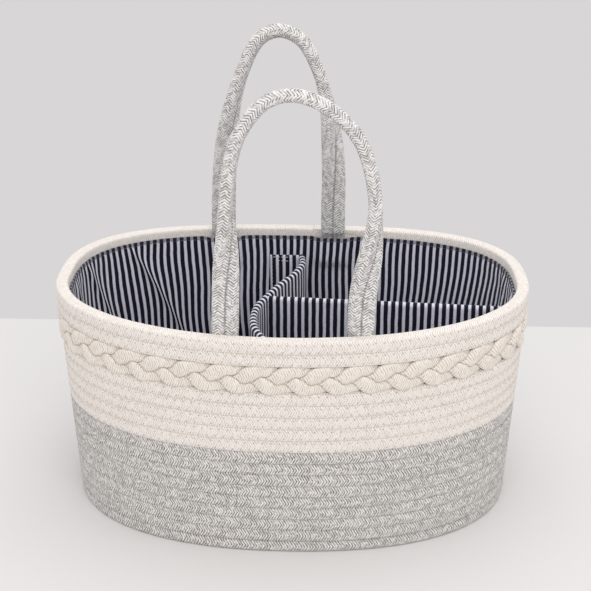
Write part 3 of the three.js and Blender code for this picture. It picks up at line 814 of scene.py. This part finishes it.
def strapFrames(spec):
    # the strap's middle line from one tail over the arch to the other, with its width and thickness
    # ways and how thick it is, as a share of the free rope
    seats = [legSeat(spec, side) for side in (-1, 1)]
    pivots = np.array([place + inward * handleRope["radius"] for place, inward in seats])
    pivots[:, 2] = handleRope["pivotHeight"]
    middle, halfWay = pivots.mean(0), (pivots[1] - pivots[0]) / 2
    along = unitRows(halfWay)
    curve = [middle + halfWay * side + up * spec["height"] * rise for side, rise in spec["shares"]]
    arch = smoothCurve(curve, handleRope["steps"])
    tangent = unitRows(np.gradient(arch, axis=0))
    tangent[0], tangent[-1] = up, -up
    rise = (arch[:, 2] - handleRope["pivotHeight"]) / spec["height"]
    turn = math.pi / 2 * smoothStep(rise, *spec["twist"])[:, None]
    width = np.sin(turn) * (spec["tilt"] * up - np.cross(up, along)) - np.cos(turn) * along
    width = unitRows(width - (width * tangent).sum(1)[:, None] * tangent)
    first = strapTail(seats[0], width[0], up)
    last = strapTail(seats[1], width[-1], -up)
    free = (arch, width, np.cross(tangent, width), np.ones(len(arch)))
    return [np.concatenate([start[::-1], between, end]) for start, between, end in zip(first, free, last)]


def bendAtRim(thing):
    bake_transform(thing)


def buildHandle(name):
    points, width, thick, flatness = strapFrames(handles[name])
    radius, sides = handleRope["radius"], handleRope["sides"]
    # the two ropes press a little flat against each other
    section = superellipse(radius, radius, handleRope["outerExponent"], sides)
    seamSide = superellipse(radius, radius, handleRope["seamExponent"], sides)
    section = np.where(section[:, :1] < 0, seamSide, section)
    across = section[:, :1] * np.where(section[:, :1] < 0, handleRope["nearSeam"], 1.0)
    # the strap is pressed a little wider where it leaves the rim
    leaving = smoothStep(points[:, 2], *handleRope["spreadFrom"])
    leaving = leaving * (1 - smoothStep(points[:, 2], *handleRope["spreadTo"]))
    wide = width * (1 + handleRope["rimSpread"] * leaving)[:, None]
    deep = thick * flatness[:, None]
    ends = np.ones((len(points), 1, 1))
    ends[[0, -1]] = handleRope["endShare"]
    for ropeName, side in (("left", 1), ("right", -1)):
        centre = points + wide * side * handleRope["spread"]
        rings = centre[:, None] + (wide[:, None] * side * across + deep[:, None] * section[:, 1:]) * ends
        uv = ropeUv(side * alongLengths(centre), aroundLengths(section))
        rope = loft(name + "_handle_" + ropeName, rings, uv, handleRopeYarn)
        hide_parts(name + "_handle_rope_" + ropeName, name + "_handle_tail_" + ropeName)
        bendAtRim(rope)
    # zigzag thread along the seam between the two ropes, on both faces
    lengths = alongLengths(points)
    margin = sewing["handleMargin"]
    wanted = np.linspace(margin, lengths[-1] - margin, int(lengths[-1] / sewing["handleAdvance"]))
    seam, seamWidth, seamThick = (readAt(wanted, lengths, values) for values in (points, width, thick))
    aside = unitRows(seamWidth) * zigzag(len(wanted))[:, None] * sewing["handleReach"]
    depth = radius * sewing["handleDepth"] * np.interp(wanted, lengths, flatness)[:, None]
    for face, label in ((1, "outer"), (-1, "inner")):
        normal = unitRows(seamThick) * face
        path = np.repeat(seam + normal * depth + aside, 2, axis=0)
        path[1::2] -= normal * sewing["handleSink"]
        path = path + np.gradient(path, axis=0) * sewing["handleSlack"]
        rings, uv = threadTube(path, np.repeat(normal, 2, axis=0), sewing["radius"])
        stitches = loft(name + "_handle_sewing_" + label, rings, uv, greyThread)
        bendAtRim(stitches)


buildHandle("front")
buildHandle("back")
print("stage: handles built")


# Lining: a striped cotton bag wall with a turned hem, a topstitch, folds at the left end
# and a slight rise over the four strap ends
lining = {"bottom": 11.0, "top": 178.2, "outer": -5.5, "thickness": 1.1, "hem": 13.0, "hemExtra": 0.35,
          "acrossSteps": 900, "upSteps": 52, "strapRise": 5.2, "strapHalf": 10.2, "strapRamp": 9.0,
          "strapFade": (146.0, 158.0), "topstitchDrop": 3.0, "stitch": 2.6, "stitchGap": 1.3,
          "lip": [(-0.15, 0.25), (0.0, 0.8), (-0.2, 1.35)], "lipStart": 0.6, "hemFade": 1.2,
          "calmAtTop": 0.55, "calmReach": 9, "threadRadius": 0.24}
# waves of the loose cloth: how far they push and shift it, the heights between which they set in,
# and how fast each one turns along the wall and up it
waves = {"depth": 0.35, "shift": 0.7, "loose": (20, 60), "long": (0.115, 0.05), "tall": (0.021, 0.045),
         "drift": (0.031, 0.075)}
# what all folds share: their two flanks, how they bow, and where they grow and fade along their length
anyFold = {"steepSide": 2.6, "gentleSide": 7.0, "bow": 0.16, "grow": (-0.5, 0.35), "fade": (0.72, 1.0),
           "faded": 0.75, "takeWidth": 2.4}
# each fold: where it starts at the top edge and ends lower down, as (station round the wall, height),
# how far its crest stands off, how much cloth it takes up, and how far the pull spreads
liningFolds = [
    {"top": (9.1, 180), "foot": (8.12, 84), "depth": 2.6, "takes": 6.0, "spread": 46.0},
    {"top": (10.6, 180), "foot": (9.7, 104), "depth": 2.2, "takes": 5.0, "spread": 22.0},
    {"top": (11.7, 180), "foot": (11.1, 96), "depth": 1.9, "takes": 4.0, "spread": 18.0},
    {"top": (12.7, 180), "foot": (12.5, 90), "depth": 1.6, "takes": 3.0, "spread": 18.0},
    {"top": (1.4, 180), "foot": (1.0, 110), "depth": 1.8, "takes": 3.5, "spread": 22.0},
    {"top": (0.2, 180), "foot": (0.1, 110), "depth": 1.8, "takes": 3.5, "spread": 20.0},
]
liningFloor = {"level": 11.45, "under": 10.2, "inset": 2.2, "sides": 160, "rings": 30, "lift": 0.2,
               "middleShare": 0.012, "waves": (0.11, 0.13), "edgeFrom": 0.985, "edgeSpan": 0.015,
               "edgeDrop": 0.5}
# one running stitch: places along it, and how far it lifts off the cloth there; its ends sink in
dash = {"hemPlaces": [0, 0.12, 0.5, 0.88, 1.0], "hemLift": [-0.25, 0.12, 0.2, 0.12, -0.25],
        "flapPlaces": [0, 0.15, 0.5, 0.85, 1], "flapLift": [-0.25, 0.1, 0.18, 0.1, -0.25]}


def strapRise(angle, height):
    # how far the lining stands off over the strap ends
    across = 0
    for spec in handles.values():
        for side in (-1, 1):
            middle = angleAtX(legPlace(spec, side), lining["outer"], spec["onBack"])
            away = np.abs(clothLength(angle) - clothLength(middle)) - lining["strapHalf"]
            across = np.maximum(across, 1 - smoothStep(away, 0, lining["strapRamp"]))
    return lining["strapRise"] * across * smoothStep(height, *lining["strapFade"])


def foldShape(angle, height):
    # how far folds stand off the wall, and how far they shift the cloth sideways
    place = clothLength(angle)
    loose = smoothStep(height, *waves["loose"])
    long, tall, drift = (np.sin(place * along + height * rise)
                         for along, rise in (waves["long"], waves["tall"], waves["drift"]))
    push = waves["depth"] * loose * np.abs(long * tall)
    shift = waves["shift"] * loose * drift
    for fold in liningFolds:
        (topStation, top), (footStation, foot) = fold["top"], fold["foot"]
        topPlace, footPlace = clothLength(stationAngle(topStation)), clothLength(stationAngle(footStation))
        share = (height - foot) / (top - foot)
        bow = anyFold["bow"] * share * (share - 1)
        away = place - (footPlace + (topPlace - footPlace) * (share + bow))
        away = (away + rimLengths[-1] / 2) % rimLengths[-1] - rimLengths[-1] / 2
        faded = anyFold["faded"] * smoothStep(share, *anyFold["fade"])
        strength = smoothStep(share, *anyFold["grow"]) * (1 - faded)
        flank = np.where(away > 0, anyFold["steepSide"], anyFold["gentleSide"])
        push = push + fold["depth"] * strength * np.exp(-(away / flank) ** 2)
        pull = np.tanh(away / anyFold["takeWidth"]) * np.exp(-(away / fold["spread"]) ** 2)
        shift = shift + fold["takes"] / 2 * strength * pull
    return push, shift


def liningSurface(angle, height, depth):
    push, _ = foldShape(angle, height)
    nearTop = 1 - lining["calmAtTop"] * smoothStep(height, lining["top"] - lining["calmReach"], lining["top"])
    rise = np.maximum(strapRise(angle, height), push * nearTop)
    return wallPoint(angle, height, lining["outer"] - depth - rise)


def makeLining():
    top = lining["top"]
    angle = np.linspace(0, fullTurn, lining["acrossSteps"], endpoint=False)
    straightTop = top - lining["lipStart"]
    heights = np.linspace(lining["bottom"], straightTop, lining["upSteps"])
    outside = [(height, 0.0) for height in heights[::3]] + [(straightTop, 0.0)]
    lip = [(top + rise, depth) for rise, depth in lining["lip"]]
    hemmed = 1 - smoothStep(top - heights[::-1], lining["hem"], lining["hem"] + lining["hemFade"])
    inside = np.stack([heights[::-1], lining["thickness"] + lining["hemExtra"] * hemmed], 1)
    profile = np.vstack([outside, lip, inside])
    rings = liningSurface(angle[:, None], profile[:, 0], profile[:, 1])
    closedAngles = np.append(angle, fullTurn - 1e-9)[:, None]  # just short of a turn, where lengths restart
    closedHeights = np.append(profile[:, 0], profile[0, 0])
    _, shift = foldShape(closedAngles, closedHeights)
    across, rise = np.broadcast_arrays(clothLength(closedAngles) + shift, closedHeights)
    bag = loft("lining_bag_wall", rings, np.stack([across, rise], -1) * mm, hemShadedCotton, closedAlong=True)
    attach(bag, "caddy")
    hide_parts("lining_wall")

    # topstitch a little below the edge, as short dashes of thread
    spacing = lining["stitch"] + lining["stitchGap"]
    depth = lining["thickness"] + lining["hemExtra"] + np.array(dash["hemLift"])
    height = top - lining["topstitchDrop"]
    threads = []
    for start in np.arange(0, rimLengths[-1] - spacing, spacing):
        along = start + lining["stitch"] * np.array(dash["hemPlaces"])
        where = np.interp(along, rimLengths, fineAngles)
        points = liningSurface(where, height, depth)
        threads.append(threadTube(points, wallNormal(where, height), lining["threadRadius"]))
    topstitch = joinThreads("lining_topstitch", threads, hemThread)
    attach(topstitch, "caddy")
    return bag, topstitch


def makeLiningFloor():
    # a cotton floor that lies flat at its edge and waves a little towards its middle
    angle = np.linspace(0, fullTurn, liningFloor["sides"], endpoint=False)
    edge = wallPoint(angle, lining["bottom"], lining["outer"] - liningFloor["inset"])[:, :2]
    upper, under = [], []
    waveX, waveY = liningFloor["waves"]
    for share in np.linspace(liningFloor["middleShare"], 1, liningFloor["rings"]):
        x, y = (edge * share).T
        lift = liningFloor["lift"] * np.sin(x * waveX) * np.cos(y * waveY) * (1 - share ** 4)
        past = max(0.0, share - liningFloor["edgeFrom"])
        rounded = liningFloor["edgeDrop"] * past / liningFloor["edgeSpan"]
        upper.append(np.stack([x, y, liningFloor["level"] + lift - rounded], 1))
        under.append(np.stack([x, y, np.full_like(x, liningFloor["under"])], 1))
    rings = np.array(under + upper[::-1])
    uv = np.concatenate([rings, rings[:, :1]], 1)[..., :2] * mm
    floor = loft("lining_bag_floor", rings, uv, stripedCotton)
    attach(floor, "caddy")
    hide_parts("lining_floor")
    return floor


liningBag, liningTopstitch = makeLining()
bagFloor = makeLiningFloor()
print("stage: lining made")


# Divider: a curved cross panel and a long panel, striped cotton round a soft board
divider = {"bottom": 12.2, "top": 161.7, "halfThickness": 3.0, "puff": 0.55, "quilt": 0.18,
           "quiltWaves": (0.16, 0.07), "crossSteps": 150, "longSteps": 120, "sideSteps": 22,
           "roundSteps": 7, "footRise": 0.6, "headDrop": 1.3, "endRound": 1.6, "leastEnd": 0.02,
           "endSqueeze": 0.003, "fill": 0.85, "bow": 32.0, "halfDepth": 102.7, "seamShare": 0.43,
           "sewnIn": 0.9, "longEnd": (175.0, 0.0, 0.0), "endGap": 8.4, "gaugeHeight": 150.0,
           "stitch": 2.8, "stitchStep": 4.4, "stitchMargin": 6, "stitchOut": 1.2, "stitchFace": 0.97,
           "stitchLift": [-0.3, 0.12, 0.12, -0.3], "threadRadius": 0.22,
           "shares": [(0.16, 1), (0.16, 0.95), (0.19, 0.87), (0.14, 0.76), (-0.03, 0.6), (-0.37, 0.39),
                      (-0.65, 0.185), (-0.87, -0.01), (-0.94, -0.21), (-0.87, -0.4), (-0.62, -0.59),
                      (-0.3, -0.77), (-0.05, -0.89), (0, -0.95), (0, -1)]}


def panelSection():
    # heights and distances from the board, up one side, over the rounded top and down the other side
    low, high, rounding = divider["bottom"], divider["top"], divider["halfThickness"]
    rise = np.linspace(0, math.pi / 2, divider["roundSteps"])
    footRise, sideTop = rounding * divider["footRise"], high - rounding * divider["headDrop"]
    foot = [(low + footRise * (1 - math.sin(turn)), math.sin(turn)) for turn in rise[1:]]
    sides = [(height, 1.0) for height in np.linspace(low + rounding, sideTop, divider["sideSteps"])]
    head = [(high - rounding * (1 - math.sin(turn)), math.cos(turn)) for turn in rise]
    near = [(low, 0.0), (low, 0.5)] + foot + sides + head
    height, share = np.array(near + [(level, -share) for level, share in near[-2:0:-1]]).T
    crown = 1 - np.abs((2 * height - low - high) / (high - low)) ** 4
    return height, share * (rounding + divider["puff"] * crown)


def makePanel(name, path, startSkew=0.0, reachAt=None):
    # a pillow along path, with its ends drawn in, and stripes that wrap over its top
    height, across = panelSection()
    tangent = unitRows(np.gradient(path, axis=0))
    lengths = alongLengths(path)
    fromEnd = np.clip(np.minimum(lengths, lengths[-1] - lengths) / divider["endRound"], 0, 1)
    rounded = np.sqrt(np.clip(1 - (1 - fromEnd) ** 2, divider["leastEnd"], 1))[:, None]
    waveAlong, waveUp = divider["quiltWaves"]
    quilt = divider["quilt"] * np.sin(lengths * waveAlong)[:, None] * np.sin(height * waveUp)
    reach = across * rounded * (1 + quilt / divider["halfThickness"])
    rings = path[:, None] + np.cross(tangent, up)[:, None] * reach[..., None]
    middle = (divider["bottom"] + divider["top"]) / 2
    rings[..., 2] = middle + (height - middle) * (1 - divider["endSqueeze"] * (1 - rounded))
    along = np.broadcast_to(lengths[:, None], reach.shape)
    if reachAt is not None:
        # the seam end is cut to the cross panel's slant, and the wall end to the wall's lean
        share = lengths[:, None] / lengths[-1]
        stretch = (reachAt(height) - lengths[-1]) * share + startSkew * reach * (1 - share)
        rings += stretch[..., None] * tangent[0]
        along = along + stretch
    along = np.concatenate([along, along[:, :1]], 1)
    around = np.broadcast_to(aroundLengths(np.stack([across, height], 1)), along.shape)
    panel = loft(name + "_pad", rings, np.stack([along, around], -1) * mm, stripedCotton)
    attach(panel, "divider")
    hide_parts(name + "_cover", name + "_core")


def crossPath(count):
    points = [(divider["bow"] * side, divider["halfDepth"] * depth, 0.0)
              for side, depth in divider["shares"]]
    return smoothCurve(points, count)


def makeDivider():
    makePanel("cross_panel", crossPath(divider["crossSteps"]))

    fineSteps = 2000
    fine = crossPath(fineSteps + 1)
    index = int(round(divider["seamShare"] * fineSteps))
    seamAcross = np.cross(up, unitRows(fine[index + 3] - fine[index - 3]))
    direction = unitRows(divider["longEnd"] - fine[index])
    sideways = np.cross(direction, up)
    slant = direction.dot(seamAcross)
    start = fine[index] + direction * (divider["halfThickness"] - divider["sewnIn"]) / slant

    def reachAt(height):
        wallX = ovalPoint(0.0, height)[..., 0] - divider["endGap"]
        return (wallX - start[0]) / direction[0]

    share = np.linspace(0, 1, divider["longSteps"])
    share = np.concatenate([[0, 0.002, 0.004], share[1:-1], [0.996, 0.998, 1.0]])  # finer at the ends
    longPath = start + direction * (share * reachAt(divider["gaugeHeight"]))[:, None]
    makePanel("long_panel", longPath, startSkew=-sideways.dot(seamAcross) / slant, reachAt=reachAt)

    # a line of sewing down the seam between the two panels, on both sides
    threads = []
    for outward in (-sideways, sideways):
        face = outward * (divider["halfThickness"] * divider["stitchFace"])
        place = start + direction * divider["stitchOut"] + face
        margin = divider["stitchMargin"]
        for low in np.arange(divider["bottom"] + margin, divider["top"] - margin, divider["stitchStep"]):
            points = place + outward * np.array(divider["stitchLift"])[:, None]
            points[:, 2] = np.linspace(low, low + divider["stitch"], len(points))
            threads.append(threadTube(points, outward, divider["threadRadius"]))
    seamThread = joinThreads("divider_seam_thread", threads, whiteThread)
    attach(seamThread, "divider")


makeDivider()
print("stage: divider padded")


# End flaps: doubled cotton tabs that lie on the wall, with tape between them and the lining.
# Each one is placed by its distance from its sewn edge along the wall.
flap = {"width": 24.0, "bottom": 61.5, "top": 161.5, "thickness": 1.2, "back": -10.0, "seamReach": 2.2,
        "seamStart": -0.9, "border": 1.7, "secondLine": 5.2, "stitch": 2.5, "stitchGap": 1.2,
        "lineStart": 0.4, "lineGap": 0.6, "lineSlip": (1.5, -0.5, 0.4), "threadRadius": 0.2,
        "bendLength": 3.4, "searchSteps": 1201,
        "panelGap": 3.9}  # panelGap goes from the panel's middle to the flap's sewn edge
tape = {"width": 18.0, "height": 80.0, "thickness": 0.85, "hookBack": -8.72, "loopBack": -7.42,
        "rounding": 0.3, "pile": 0.12}
# a strip's section: its corners, its thinner two ends, and how finely it is cut, plain or with pile
strip = {"rounding": 0.45, "cornerTurns": (0.5, 1.1), "edgeStep": 0.12, "endShare": 0.55,
         "plainSteps": (18, 34), "pileSteps": (46, 90), "faceFrom": 0.9}
flapSeats = {
    "rear": {"onBack": True, "panelX": 5.12, "side": -1, "panel": "cross_panel_pad"},
    "front": {"onBack": False, "panelX": 0.0, "side": 1, "panel": "cross_panel_pad"},
    "end": {"stations": (23.0, 24.0), "panel": "long_panel_pad"},
}


def flapPlace(name):
    # gives the point at a distance from the sewn edge, a height and an offset from the wall's middle
    seat = flapSeats[name]

    def onCurve(distance, height, offset):
        x = seat["panelX"] + seat["side"] * (flap["panelGap"] + distance)
        angle = angleAtX(x, flap["back"], seat["onBack"], flap["top"], flap["searchSteps"])
        return wallPoint(angle, height, offset)

    def onChord(distance, height, offset):
        first, last = (stationAngle(station) for station in seat["stations"])
        start, end = (wallPoint(angle, flap["top"], flap["back"]) for angle in (first, last))
        share = (flap["panelGap"] + distance) / np.linalg.norm(end - start)
        low, high = (wallPoint(angle, height, offset) for angle in (first, last))
        return high + (low - high) * np.asarray(share)[..., None]

    return onChord if name == "end" else onCurve


def patch(name, place, acrossEnds, heights, back, thickness, material, rounding, pile=0.0):
    # a thin strip with rounded edges, lofted along its width, and with a rough face if it has pile
    low, high = heights
    acrossSteps, upSteps = strip["pileSteps"] if pile else strip["plainSteps"]
    across = np.linspace(*acrossEnds, acrossSteps)
    edge = (across[1] - across[0]) * strip["edgeStep"]
    across = np.concatenate([across[:1], across[:1] + edge, across[1:-1], across[-1:] - edge, across[-1:]])
    levels = np.linspace(low + rounding, high - rounding, upSteps)
    head = [(high - rounding * (1 - math.sin(turn)), 0.5 + 0.5 * math.cos(turn))
            for turn in strip["cornerTurns"]]
    head = head + [(high, 0.5)] + [(level, 1 - share) for level, share in head[::-1]]
    foot = [(low + high - level, 1 - share) for level, share in head]
    level, share = np.array([(z, 1.0) for z in levels] + head + [(z, 0.0) for z in levels[::-1]] + foot).T
    thin = np.ones((len(across), 1))
    thin[[0, -1]] = strip["endShare"]
    x, z = np.meshgrid(across, level, indexing="ij")
    tufts = np.sin(x * 5.1 + 1.3 * np.sin(z * 2.3)) * np.sin(z * 4.7 + np.sin(x * 3.1))
    rough = pile * tufts * (share > strip["faceFrom"])
    offset = back - thickness * (0.5 + (share - 0.5) * thin) - rough
    return loft(name, place(x, z, offset), ropeUv(across, [*level, level[0]]), material)


def dashes(name, place, routes, depth, thread):
    # running stitches along straight routes of (distance, height) on a patch
    threads = []
    for start, end in np.array(routes, float):
        whole = np.linalg.norm(end - start)
        spacing = flap["stitch"] + flap["stitchGap"]
        for begin in np.arange(flap["lineStart"], whole - flap["stitch"], spacing):
            share = (begin + flap["stitch"] * np.array(dash["flapPlaces"])) / whole
            x, z = (start + (end - start) * share[:, None]).T
            points = place(x, z, depth - np.array(dash["flapLift"]))
            outward = unitRows(place(x, z, depth - 1.0) - points)
            threads.append(threadTube(points, outward, flap["threadRadius"]))
    return joinThreads(name, threads, thread)


def makeFlap(name):
    place = flapPlace(name)
    low, high, width, back = flap["bottom"], flap["top"], flap["width"], flap["back"]
    tab = patch(name + "_flap_tab", place, (-flap["seamReach"], width), (low, high), back,
                flap["thickness"], stripedCotton, strip["rounding"])
    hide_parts(name + "_flap")
    middle = (high + low) / 2
    seamStart, seamEnd = (tuple(place(reach, middle, back) * mm)
                          for reach in (flap["seamStart"], flap["bendLength"]))
    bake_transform(tab)
    near, far = flap["bendLength"] + flap["lineGap"], width - flap["border"]
    top, bottom, second = high - flap["border"], low + flap["border"], high - flap["secondLine"]
    short, drop, lift = flap["lineSlip"]  # the second line is sewn a little askew
    routes = [((near, top), (far, top)), ((far, top), (far, bottom)), ((far, bottom), (near, bottom)),
              ((near, second + drop), (far - short, second + lift))]
    sewn = dashes(name + "_flap_topstitch", place, routes, back - flap["thickness"], whiteThread)
    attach(sewn, name + "_flap")

    inset = (width - tape["width"]) / 2
    heights = (middle - tape["height"] / 2, middle + tape["height"] / 2)
    for kind, pile, body in (("hook", hookPile, name + "_flap"), ("loop", loopPile, "caddy")):
        half = patch(f"{name}_{kind}_strip", place, (inset, width - inset), heights, tape[kind + "Back"],
                     tape["thickness"], pile, tape["rounding"], tape["pile"])
        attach(half, body)
        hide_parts(f"{name}_{kind}_tape")


for flapName in flapSeats:
    makeFlap(flapName)
print("stage: flaps and tapes made")


# Floor, room light and lamps
stage = {"floorColour": srgb(225, 223, 222), "wallColour": srgb(216, 214, 215), "floorHalf": 3.0,
         "floorFar": 0.295, "cloudScale": 3.0, "cloudShade": 0.97, "roughness": 0.9, "specular": 0.1,
         "fillStrength": 0.86, "lampsLookAt": (0, 0, 0.15)}
lamps = {"keyLamp": {"watts": 10.0, "size": 1.6, "place": (0.25, -1.3, 1.6)},
         "topLamp": {"watts": 6.0, "size": 1.6, "place": (0.1, 0.3, 1.9)}}


def addFloor():
    half, far = stage["floorHalf"], stage["floorFar"]
    corners = np.array([(-half, -half, 0), (half, -half, 0), (half, far, 0), (-half, far, 0)])
    material, shader = startMaterial("paperFloor")
    cloud = noiseAt(objectSpot(shader.id_data), stage["cloudScale"])
    deep = tuple(part * stage["cloudShade"] for part in stage["floorColour"][:3]) + (1,)
    feed(shader, {"Base Color": blendColour(cloud, deep, stage["floorColour"]),
                  "Roughness": stage["roughness"], "Specular IOR Level": stage["specular"]})
    makeObject("floor", corners / mm, [(0, 1, 2, 3)], corners[:, :2], material)


def addRoom():
    # the camera sees a pale wall, and the object gets even light from all sides
    world = bpy.data.worlds.new("room")
    bpy.context.scene.world = world
    world.use_nodes = True
    tree = world.node_tree
    tree.nodes.clear()
    seen = addNode(tree, "Background", {"Color": stage["wallColour"]})
    lit = addNode(tree, "Background", {"Color": (1, 1, 1, 1), "Strength": stage["fillStrength"]})
    rays = addNode(tree, "LightPath")
    chosen = addNode(tree, "MixShader", {0: Wire(rays, "Is Camera Ray"), 1: Wire(lit), 2: Wire(seen)})
    addNode(tree, "OutputWorld", {"Surface": Wire(chosen)})


def addLamp(name, spec):
    data = bpy.data.lights.new(name, "AREA")
    data.energy = spec["watts"]
    data.shape = "DISK"
    data.size = spec["size"]
    aim(name, data, spec["place"], stage["lampsLookAt"])


addFloor()
addRoom()
for lampName in lamps:
    addLamp(lampName, lamps[lampName])
bpy.context.scene.view_settings.view_transform = "Standard"
print("stage: floor and lamps set")
